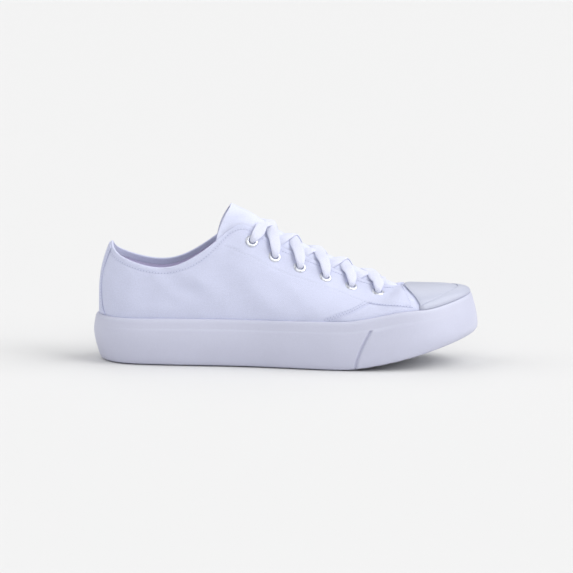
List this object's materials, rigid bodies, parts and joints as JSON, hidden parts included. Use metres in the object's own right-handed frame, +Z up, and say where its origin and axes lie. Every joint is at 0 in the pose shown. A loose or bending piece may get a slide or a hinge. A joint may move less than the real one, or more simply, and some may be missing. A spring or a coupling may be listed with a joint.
{
  "type": "canvas sneaker",
  "caption": "Low canvas lace-up sneaker with rubber toe cap and tall rubber sidewall, standing on its sole.",
  "frame": {"origin": "middle of the shoe's footprint box, on the ground under the sole", "axes": "+X to the toe, +Y to the medial side, +Z up"},
  "size_m": [0.2954, 0.1079, 0.1205],
  "materials": {
    "outsole_rubber": "moulded, satin",
    "foxing_rubber": "smooth, satin",
    "canvas": "plain woven cotton canvas",
    "footbed": "cotton twill on foam",
    "lace_cotton": "flat braided cotton",
    "eyelet_metal": "rolled, nickel bright"
  },
  "bodies": {
    "root": {"outsole": "outsole_rubber", "foxing": "foxing_rubber", "toe_cap": "foxing_rubber", "toe_bumper": "foxing_rubber", "upper": "canvas", "heel_strip": "canvas", "tongue": "canvas", "insole": "footbed", "lace_bar": "lace_cotton", "lace_crossing_1": "lace_cotton", "lace_crossing_2": "lace_cotton", "lace_crossing_3": "lace_cotton", "lace_crossing_4": "lace_cotton", "lace_crossing_5": "lace_cotton", "eyelet_1_lateral": "eyelet_metal", "eyelet_2_lateral": "eyelet_metal", "eyelet_3_lateral": "eyelet_metal", "eyelet_4_lateral": "eyelet_metal", "eyelet_5_lateral": "eyelet_metal", "eyelet_6_lateral": "eyelet_metal", "eyelet_1_medial": "eyelet_metal", "eyelet_2_medial": "eyelet_metal", "eyelet_3_medial": "eyelet_metal", "eyelet_4_medial": "eyelet_metal", "eyelet_5_medial": "eyelet_metal", "eyelet_6_medial": "eyelet_metal"}
  },
  "joints": []
}
